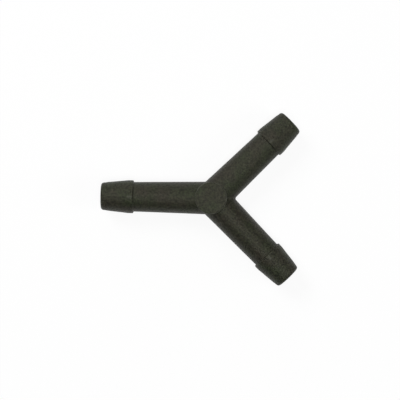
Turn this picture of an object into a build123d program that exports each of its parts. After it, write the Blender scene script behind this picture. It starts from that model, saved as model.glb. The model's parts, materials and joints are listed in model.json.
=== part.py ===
from build123d import *
from math import radians, tan
import os

# Y connector that joins three ends of the same soft hose, moulded in one piece.
# The axes of its three bores cross at the origin and lie in the XY plane, with the stem along -X.

# Arms, each measured from the crossing of the axes
stem_length = 30.4
branch_length = 30.1
branch_angle = 45.0  # degrees from +X, one branch to each side

# Tapered tube
root_diameter = 8.9  # outside, where the axes cross
root_wall = 1.85  # at the same place, down to the straight bore
draft = 1.2  # degrees, by which the outside narrows towards the barb

# Barb at the end of each arm
shoulder_distance = 21.4  # from the crossing of the axes to the foot of the shoulder
barb_height = 0.46  # from the neck up to the crest
crest_width = 1.3  # straight land that grips the hose
shoulder_slope = 0.25  # axial depth of the shoulder's sloping face
tip_wall = 1.1  # at the tip, before its edges are broken
tip_land = 0.1  # width of the flat ring left at the tip
mouth_break = 0.2  # chamfer at the mouth of the bore

# Hub
pad_inset = 0.1  # by which the pad's radius is less than the tubes'
pad_offset = 0.35  # from the crossing of the axes to the pad's middle, towards the stem
pad_rise = 0.2  # from the crown of the tubes to the pad's face
pad_edge = 0.25  # rounding of the pad's rim
crotch_fillet = 0.7  # valley between the two branches
corner_fillet = 0.2  # valleys between the stem and each branch

root_radius = root_diameter / 2
bore_radius = root_radius - root_wall
nose_radius = bore_radius + tip_wall
tip_edge = tip_wall - tip_land - mouth_break
neck_radius = root_radius - shoulder_distance * tan(radians(draft))
crest_radius = neck_radius + barb_height
crest_start = shoulder_distance + shoulder_slope
crest_end = crest_start + crest_width
pad_radius = root_radius - pad_inset
pad_face = root_radius + pad_rise
core_radius = pad_radius / 2

half_turn = 180.0
corner_angle = (half_turn + branch_angle) / 2
arms = [
    (half_turn, stem_length),
    (branch_angle, branch_length),
    (-branch_angle, branch_length),
]
valleys = [
    (0.0, crotch_fillet),
    (corner_angle, corner_fillet),
    (-corner_angle, corner_fillet),
]
touching = 0.001


def level_axis(angle):
    return Axis((0, 0, 0), Vector(1, 0, 0).rotate(Axis.Z, angle))


def upright_plane(angle):
    along = level_axis(angle).direction
    return Plane(origin=(0, 0, 0), x_dir=along, z_dir=along.cross(Vector(0, 0, 1)))


def tip_plane(angle, length):
    along = level_axis(angle).direction
    return Plane(origin=along * length, z_dir=along)


def in_valley(edge, angle):
    middle = upright_plane(angle).to_local_coords(edge.center())
    return middle.X > core_radius + touching and abs(middle.Z) < touching


with BuildPart() as y_connector:
    # Square core under the pad, where the crowns of the tubes run together
    Box(2 * core_radius, 2 * core_radius, 2 * pad_face)

    # Three tapered arms, each a half outline turned about its own axis
    for angle, length in arms:
        with BuildSketch(upright_plane(angle)) as half_outline:
            with BuildLine():
                Polyline(
                    (0, 0),
                    (0, root_radius),
                    (shoulder_distance, neck_radius),
                    (crest_start, crest_radius),
                    (crest_end, crest_radius),
                    (length, nose_radius),
                    (length, 0),
                    close=True,
                )
            make_face()
            tip_corner = half_outline.vertices().sort_by_distance((length, nose_radius))[0]
            fillet(tip_corner, tip_edge)
        revolve(axis=level_axis(angle))

    # Blends in the valleys between neighbouring arms
    for angle, radius in valleys:
        fillet(y_connector.edges().filter_by(lambda edge: in_valley(edge, angle)), radius)

    # Round pad through the hub, its two faces just proud of the tubes
    with BuildSketch(Plane.XZ) as half_pad:
        with Locations((pad_radius / 2 - pad_offset, 0)):
            Rectangle(pad_radius, 2 * pad_face)
        fillet(half_pad.vertices().group_by(Axis.X)[-1], pad_edge)
    revolve(axis=Axis((-pad_offset, 0, 0), (0, 0, 1)))

    # Bores from each tip to the crossing, with a broken edge at the mouth
    for angle, length in arms:
        with Locations(tip_plane(angle, length)):
            Hole(bore_radius, depth=length)
        tip_face = y_connector.faces().sort_by(level_axis(angle))[-1]
        chamfer(tip_face.inner_wires()[0].edges(), mouth_break)

y_connector.part.label = "y_connector"
os.makedirs("parts", exist_ok=True)
export_step(y_connector.part, "parts/y_connector.step")
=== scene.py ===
import json
import math

import bmesh
import bpy
import mathutils
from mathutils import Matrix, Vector


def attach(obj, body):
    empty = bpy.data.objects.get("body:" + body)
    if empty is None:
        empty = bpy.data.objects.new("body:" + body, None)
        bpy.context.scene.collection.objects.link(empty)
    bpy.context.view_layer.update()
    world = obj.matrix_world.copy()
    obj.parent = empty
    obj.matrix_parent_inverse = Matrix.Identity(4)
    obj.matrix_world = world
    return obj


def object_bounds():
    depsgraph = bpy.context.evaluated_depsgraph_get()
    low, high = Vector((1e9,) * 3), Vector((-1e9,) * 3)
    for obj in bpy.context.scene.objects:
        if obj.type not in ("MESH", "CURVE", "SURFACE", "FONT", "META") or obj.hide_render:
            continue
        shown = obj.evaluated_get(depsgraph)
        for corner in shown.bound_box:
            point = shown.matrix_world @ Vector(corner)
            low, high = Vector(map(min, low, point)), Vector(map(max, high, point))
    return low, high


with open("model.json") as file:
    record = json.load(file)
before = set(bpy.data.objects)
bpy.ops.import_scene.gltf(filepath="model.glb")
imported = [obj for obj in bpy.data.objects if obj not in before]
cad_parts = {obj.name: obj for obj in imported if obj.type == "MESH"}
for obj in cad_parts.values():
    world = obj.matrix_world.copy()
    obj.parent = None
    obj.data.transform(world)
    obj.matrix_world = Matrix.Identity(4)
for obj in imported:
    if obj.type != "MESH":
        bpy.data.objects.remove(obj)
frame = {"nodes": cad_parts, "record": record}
cadLow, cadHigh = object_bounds()
connector = frame["nodes"]["y_connector"]
print("frame loaded")


# Camera, straight above the connector and turned a little

cameraView = {
    "height": 0.411,  # above the plane of the arms
    "frameWidth": 0.1096,  # how much of that plane it sees
    "turnDegrees": 1.0,
    "aside": -0.00329,  # from the crossing of the arms, along the frame's width
    "above": -0.00052,
    "clipStart": 0.01,
}


def makeCamera(view):
    turn = math.radians(view["turnDegrees"])
    right = Vector((math.cos(turn), math.sin(turn), 0))
    up = Vector((-math.sin(turn), math.cos(turn), 0))
    data = bpy.data.cameras.new("camera")
    data.lens = data.sensor_width * view["height"] / view["frameWidth"]
    data.clip_start = view["clipStart"]
    camera = bpy.data.objects.new("camera", data)
    camera.location = right * view["aside"] + up * view["above"]
    camera.location.z = view["height"]
    camera.rotation_euler.z = turn
    bpy.context.scene.collection.objects.link(camera)
    bpy.context.scene.camera = camera


makeCamera(cameraView)
print("camera placed")


# Node helpers

def addNode(tree, kind, inputs=None, **settings):
    node = tree.nodes.new(kind)
    for name, value in settings.items():
        setattr(node, name, value)
    for name, value in (inputs or {}).items():
        feed(tree, value, node.inputs[name])
    return node


def feed(tree, value, socket):
    if isinstance(value, bpy.types.NodeSocket):
        tree.links.new(value, socket)
    else:
        socket.default_value = value


def combine(tree, operation, first, second=0.0, third=0.0):
    inputs = {0: first, 1: second, 2: third}
    return addNode(tree, "ShaderNodeMath", inputs, operation=operation).outputs[0]


def vectorMath(tree, operation, inputs):
    return addNode(tree, "ShaderNodeVectorMath", inputs, operation=operation)


def spread(tree, value, start, end, low=0.0, high=1.0):
    return addNode(tree, "ShaderNodeMapRange", {
        "Value": value,
        "From Min": start,
        "From Max": end,
        "To Min": low,
        "To Max": high,
    }).outputs["Result"]


def noise(tree, where, size, detail=2.0):
    inputs = {"Vector": where, "Scale": 1 / size, "Detail": detail}
    return addNode(tree, "ShaderNodeTexNoise", inputs).outputs["Fac"]


def swing(tree, value):
    # noise keeps near its middle, so this brings it to about -1 to 1
    return spread(tree, value, 0.3, 0.7, -1.0, 1.0)


def mixColour(tree, share, first, second):
    inputs = {"Factor": share, "A": first, "B": second}
    return addNode(tree, "ShaderNodeMix", inputs, data_type="RGBA").outputs["Result"]


# What the moulded shape says about itself

mounts = {mount["name"]: mount for mount in frame["record"]["mounts"]}
bores = [mount for mount in mounts.values() if mount["kind"] == "bore"]
armDirections = [Vector(bore["axis"]).normalized() for bore in bores]
millimetre = 0.001
boreRadius = bores[0]["dims"]["r_mm"] * millimetre
crestMiddle = Vector(mounts["stem_barb"]["pos_m"]).length
padFace = abs(mounts["underside_pad"]["pos_m"][2])


# Moulded plastic

plastic = {
    "olive": (0.0128, 0.0167, 0.0075, 1),
    "brown": (0.0168, 0.0144, 0.0100, 1),
    # lighter colour on crest edges and pad rims: painted highlight, partly rub wear
    "rubAndHighlight": (0.070, 0.072, 0.058, 1),
    "specularTint": (1.0, 1.0, 0.82, 1),
    "patchSize": 0.005,
    "patchBlend": (0.35, 0.65),  # of the noise, over which olive turns to brown
    "mottleSize": 0.0005,
    "mottleShade": 0.8,  # how much lighter and darker the mottling makes the colour
    "undulationDepth": 0.000065,
    "grainSize": 0.00018,
    "grainDepth": 0.00003,
    "grainDetail": 3.0,
    "specularLevel": 0.3,
    "roughness": 0.52,
    "roughnessSpread": 0.12,
    "boreSmoothing": 0.18,  # less rough in the bores, which a polished pin forms
    "streakWidth": 0.00035,  # tool marks on the pads, across the stem
    "streakLength": 0.004,
    "streakShade": 0.22,
    "streakDepth": 0.000010,
    "boreSkin": (0.00003, 0.0002),  # above the bore's wall, where the outer skin starts and is full
    "padSkin": (0.00008, 0.00003),  # below the pad's face, where its tool marks start and are full
    "edgeRadius": 0.00010,  # over which sharp edges look broken
    "edgeSamples": 8,
    "edgeTurn": (0.995, 0.93),  # cosine between flat and broken normal, from no painted highlight and rub to full
    # how far the painted highlight and rub colour replaces the plastic's own colour
    "edgeRubAndHighlight": 0.75,
    "crestReach": (0.002, 0.0012),  # hubward of a crest, where the painted highlight and rub start and are full
    "rimBand": 0.00018,  # height of the band round each pad that gets the painted highlight and rub
    "rimFade": 0.00004,
    "rimTop": 0.00001,  # left without painted highlight and rub under the pad's face
    "rubAndHighlightPatchSize": 0.0016,
    "rubAndHighlightPatchBlend": (0.35, 0.6),
    "rubAndHighlightLeast": 0.35,
}


def distanceToArms(tree, where):
    nearest = None
    for direction in armDirections:
        along = vectorMath(tree, "DOT_PRODUCT", {0: where, 1: direction}).outputs["Value"]
        outward = combine(tree, "MAXIMUM", along, 0.0)
        foot = vectorMath(tree, "SCALE", {0: direction, "Scale": outward}).outputs["Vector"]
        apart = vectorMath(tree, "DISTANCE", {0: where, 1: foot}).outputs["Value"]
        nearest = apart if nearest is None else combine(tree, "MINIMUM", nearest, apart)
    return nearest


def rubAndHighlightEdges(tree, values, where, height, bevel):
    # painted highlight, partly rub wear: a lighter colour on the two edges of each crest, and on the rim
    # of each pad
    normal = addNode(tree, "ShaderNodeNewGeometry").outputs["Normal"]
    turned = vectorMath(tree, "DOT_PRODUCT", {0: bevel, 1: normal}).outputs["Value"]
    sharp = spread(tree, turned, *values["edgeTurn"])
    fromHub = vectorMath(tree, "LENGTH", {0: where}).outputs["Value"]
    start, full = values["crestReach"]
    crestEdge = combine(
        tree, "MULTIPLY", sharp, spread(tree, fromHub, crestMiddle - start, crestMiddle - full)
    )
    bandFoot = padFace - values["rimBand"]
    rim = combine(
        tree,
        "MULTIPLY",
        spread(tree, height, bandFoot - values["rimFade"], bandFoot),
        spread(tree, height, padFace - values["rimTop"], padFace - values["rimFade"]),
    )
    # patchiness of the painted highlight and rub
    rubAndHighlightNoise = noise(tree, where, values["rubAndHighlightPatchSize"])
    patchy = spread(tree, rubAndHighlightNoise, *values["rubAndHighlightPatchBlend"], values["rubAndHighlightLeast"], 1.0)
    return combine(tree, "MULTIPLY", combine(tree, "MAXIMUM", crestEdge, rim), patchy)


def makePlastic(values):
    material = bpy.data.materials.new("mouldedPlastic")
    material.use_nodes = True
    tree = material.node_tree
    shader = tree.nodes["Principled BSDF"]
    where = addNode(tree, "ShaderNodeTexCoord").outputs["Object"]
    level = addNode(tree, "ShaderNodeSeparateXYZ", {0: where}).outputs["Z"]
    height = combine(tree, "ABSOLUTE", level)
    start, full = values["boreSkin"]
    outside = spread(tree, distanceToArms(tree, where), boreRadius + start, boreRadius + full)
    start, full = values["padSkin"]
    onPad = spread(tree, height, padFace - start, padFace - full)
    bevel = addNode(
        tree, "ShaderNodeBevel", {"Radius": values["edgeRadius"]}, samples=values["edgeSamples"]
    ).outputs["Normal"]
    # where crest edges and pad rims get the painted highlight and rub
    rubAndHighlight = rubAndHighlightEdges(tree, values, where, height, bevel)

    # mottling of the mould's skin, and tool marks on the pads
    mottle = swing(tree, noise(tree, where, values["mottleSize"]))
    grain = swing(tree, noise(tree, where, values["grainSize"], values["grainDetail"]))
    stretch = (1 / values["streakWidth"], 1 / values["streakLength"], 0)
    stretched = vectorMath(tree, "MULTIPLY", {0: where, 1: stretch}).outputs["Vector"]
    streaks = swing(tree, noise(tree, stretched, 1.0))
    padStreaks = combine(tree, "MULTIPLY", streaks, onPad)

    # colour
    patches = spread(tree, noise(tree, where, values["patchSize"]), *values["patchBlend"])
    colour = mixColour(tree, patches, values["olive"], values["brown"])
    shade = combine(tree, "MULTIPLY_ADD", mottle, values["mottleShade"], 1.0)
    shade = combine(tree, "MULTIPLY_ADD", padStreaks, values["streakShade"], shade)
    shaded = vectorMath(tree, "SCALE", {0: colour, "Scale": shade}).outputs["Vector"]
    # crest edges and pad rims painted lighter: painted highlight, partly rub wear
    share = combine(tree, "MULTIPLY", rubAndHighlight, values["edgeRubAndHighlight"])
    feed(tree, mixColour(tree, share, shaded, values["rubAndHighlight"]), shader.inputs["Base Color"])

    # roughness
    rough = combine(tree, "MULTIPLY_ADD", grain, values["roughnessSpread"], values["roughness"])
    inside = combine(tree, "SUBTRACT", 1.0, outside)
    polish = combine(tree, "MULTIPLY", inside, values["boreSmoothing"])
    feed(tree, combine(tree, "SUBTRACT", rough, polish), shader.inputs["Roughness"])

    # relief, in metres
    relief = combine(tree, "MULTIPLY", mottle, values["undulationDepth"] / 2)
    relief = combine(tree, "MULTIPLY_ADD", grain, values["grainDepth"] / 2, relief)
    relief = combine(tree, "MULTIPLY", relief, outside)
    relief = combine(tree, "MULTIPLY_ADD", padStreaks, values["streakDepth"] / 2, relief)
    bump = addNode(tree, "ShaderNodeBump", {"Height": relief, "Distance": 1.0, "Normal": bevel})
    feed(tree, bump.outputs["Normal"], shader.inputs["Normal"])
    shader.inputs["Specular IOR Level"].default_value = values["specularLevel"]
    shader.inputs["Specular Tint"].default_value = values["specularTint"]
    return material


mouldedPlastic = makePlastic(plastic)
connector.data.materials[0] = mouldedPlastic
print("plastic made")


# Parting line, a fine ridge where the two halves of the mould met

partingLine = {
    "width": 0.00018,
    "height": 0.00005,
    "sunk": 0.00005,
    "pitch": 0.0004,  # between cross-sections of the ridge
    "unevenness": 0.35,
    "waveLength": 0.0035,
    "fade": 0.0012,  # length over which it dies away at an end
    "endShare": 0.1,  # of its size, kept at the very end
    "clearOfBore": 0.00118,  # it stops where the wall gets thinner than this
    "profile": [  # rise and place across, as shares of the height and of half the width
        (0.0, -1.0), (0.45, -0.7), (0.9, -0.25), (1.0, 0.0), (0.9, 0.25), (0.45, 0.7), (0.0, 1.0)
    ],
    "mergeDistance": 0.000001,
    "cutTolerance": 0.0000001,
}


def nearestOnArms(point):
    feet = [direction * max(direction.dot(point), 0.0) for direction in armDirections]
    return min(feet, key=lambda foot: (foot - point).length)


def levelSection(mesh, values):
    # edges of the mesh cut level through the middle, apart from those in the bores
    cut = bmesh.new()
    cut.from_mesh(mesh)
    bmesh.ops.remove_doubles(cut, verts=cut.verts, dist=values["mergeDistance"])
    bmesh.ops.bisect_plane(
        cut,
        geom=cut.verts[:] + cut.edges[:] + cut.faces[:],
        dist=values["cutTolerance"],
        plane_co=(0, 0, 0),
        plane_no=(0, 0, 1),
        clear_outer=True,
        clear_inner=True,
    )
    limit = boreRadius + values["clearOfBore"]
    hidden = []
    for edge in cut.edges:
        middle = (edge.verts[0].co + edge.verts[1].co) / 2
        if (middle - nearestOnArms(middle)).length < limit:
            hidden.append(edge)
    bmesh.ops.delete(cut, geom=hidden, context="EDGES")
    return cut


def chains(section):
    # each run of joined edges, from one open end to the other
    paths = []
    used = set()
    ends = sorted(
        (vertex for vertex in section.verts if len(vertex.link_edges) == 1),
        key=lambda vertex: (round(vertex.co.x, 6), round(vertex.co.y, 6)),
    )
    for end in ends:
        if end in used:
            continue
        path = [end]
        used.add(end)
        while True:
            onward = [edge.other_vert(path[-1]) for edge in path[-1].link_edges]
            onward = [vertex for vertex in onward if vertex not in used]
            if not onward:
                break
            path.append(onward[0])
            used.add(onward[0])
        paths.append([vertex.co.copy() for vertex in path])
    return paths


def evenly(path, pitch):
    points = [path[0]]
    for start, end in zip(path, path[1:]):
        steps = max(1, math.ceil((end - start).length / pitch))
        points += [start.lerp(end, step / steps) for step in range(1, steps + 1)]
    return points


def makeRidge(values):
    section = levelSection(connector.data, values)
    ridge = bmesh.new()
    half = values["width"] / 2
    up = Vector((0, 0, 1))
    profile = values["profile"]
    for path in chains(section):
        points = evenly(path, values["pitch"])
        travelled = [0.0]
        for start, end in zip(points, points[1:]):
            travelled.append(travelled[-1] + (end - start).length)
        rings = []
        for index, point in enumerate(points):
            before = points[max(index - 1, 0)]
            after = points[min(index + 1, len(points) - 1)]
            outward = (after - before).normalized().cross(up)
            if outward.dot(point - nearestOnArms(point)) < 0:
                outward.negate()
            toEnd = min(travelled[index], travelled[-1] - travelled[index])
            fade = values["endShare"] + (1 - values["endShare"]) * min(toEnd / values["fade"], 1.0)
            ripple = mathutils.noise.noise(point / values["waveLength"])
            wave = 1 + values["unevenness"] * ripple
            tall = values["height"] * fade * wave + values["sunk"] * fade
            base = point - outward * values["sunk"]
            rings.append([
                ridge.verts.new(base + outward * tall * rise + up * half * across)
                for rise, across in profile
            ])
        for first, second in zip(rings, rings[1:]):
            for index in range(len(profile)):
                following = (index + 1) % len(profile)
                ridge.faces.new((first[index], first[following], second[following], second[index]))
        ridge.faces.new(rings[0])
        ridge.faces.new(reversed(rings[-1]))
    bmesh.ops.recalc_face_normals(ridge, faces=ridge.faces)
    for face in ridge.faces:
        face.smooth = len(face.verts) == 4
    mesh = bpy.data.meshes.new("parting_line")
    ridge.to_mesh(mesh)
    section.free()
    ridge.free()
    line = bpy.data.objects.new("parting_line", mesh)
    bpy.context.scene.collection.objects.link(line)
    mesh.materials.append(mouldedPlastic)
    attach(line, "root")


makeRidge(partingLine)
print("parting line made")


# Floor and light

studio = {
    "floorRadius": 2.0,
    "floorSides": 96,
    "gap": 0.00002,  # under the connector, so that the two surfaces don't coincide
    "floorColour": (0.9, 0.9, 0.9, 1),
    "floorGlow": 0.88,  # share of the floor that simply looks white
    "surroundings": 0.005,
    "distance": 0.8,
    # turn from +X and rise above the floor in degrees, size in metres, power in watts
    "boxes": {
        "topBox": (270, 82, 0.3, 3.6),
        "keyBox": (134, 44, 0.35, 3.3),
        "rimBox": (97, 14, 0.3, 1.0),
        "sideBox": (350, 32, 0.35, 1.85),
    },
}


def makeFloor(values):
    studioFloor = bmesh.new()
    bmesh.ops.create_circle(
        studioFloor, cap_ends=True, segments=values["floorSides"], radius=values["floorRadius"]
    )
    mesh = bpy.data.meshes.new("floor")
    studioFloor.to_mesh(mesh)
    studioFloor.free()
    floor = bpy.data.objects.new("floor", mesh)
    floor.location.z = cadLow.z - values["gap"]
    bpy.context.scene.collection.objects.link(floor)
    mesh.materials.append(makePaper(values))


def makePaper(values):
    material = bpy.data.materials.new("whitePaper")
    material.use_nodes = True
    tree = material.node_tree
    tree.nodes.clear()
    rays = addNode(tree, "ShaderNodeLightPath").outputs
    seen = combine(tree, "MAXIMUM", rays["Is Camera Ray"], rays["Is Glossy Ray"])
    seen = combine(tree, "MAXIMUM", seen, rays["Is Transmission Ray"])
    share = combine(tree, "MULTIPLY", seen, values["floorGlow"])
    lit = addNode(tree, "ShaderNodeBsdfDiffuse", {"Color": values["floorColour"]})
    white = addNode(tree, "ShaderNodeEmission")
    paper = addNode(tree, "ShaderNodeMixShader", {0: share, 1: lit.outputs[0], 2: white.outputs[0]})
    # seen from below, the floor isn't there, so the underside shows
    below = addNode(tree, "ShaderNodeNewGeometry").outputs["Backfacing"]
    clear = addNode(tree, "ShaderNodeBsdfTransparent")
    sheet = addNode(tree, "ShaderNodeMixShader", {0: below, 1: paper.outputs[0], 2: clear.outputs[0]})
    addNode(tree, "ShaderNodeOutputMaterial", {"Surface": sheet.outputs[0]})
    return material


def makeLight(values):
    world = bpy.data.worlds.new("surroundings")
    world.use_nodes = True
    tree = world.node_tree
    background = tree.nodes["Background"]
    background.inputs["Color"].default_value = (1, 1, 1, 1)
    # white to the camera past the floor's edge, but dark in the plastic, which has its contrast from that
    rays = addNode(tree, "ShaderNodeLightPath").outputs
    seen = combine(tree, "MAXIMUM", rays["Is Camera Ray"], rays["Is Transmission Ray"])
    strength = spread(tree, seen, 0.0, 1.0, values["surroundings"], 1.0)
    feed(tree, strength, background.inputs["Strength"])
    bpy.context.scene.world = world
    for name, (turn, rise, size, power) in values["boxes"].items():
        data = bpy.data.lights.new(name, "AREA")
        data.size = size
        data.energy = power
        softbox = bpy.data.objects.new(name, data)
        level = math.cos(math.radians(rise))
        away = Vector((
            math.cos(math.radians(turn)) * level,
            math.sin(math.radians(turn)) * level,
            math.sin(math.radians(rise)),
        ))
        softbox.location = away * values["distance"]
        softbox.rotation_euler = away.to_track_quat("Z", "Y").to_euler()
        softbox.visible_camera = False
        bpy.context.scene.collection.objects.link(softbox)


makeFloor(studio)
makeLight(studio)
bpy.context.scene.view_settings.view_transform = "Standard"
print("studio lit")
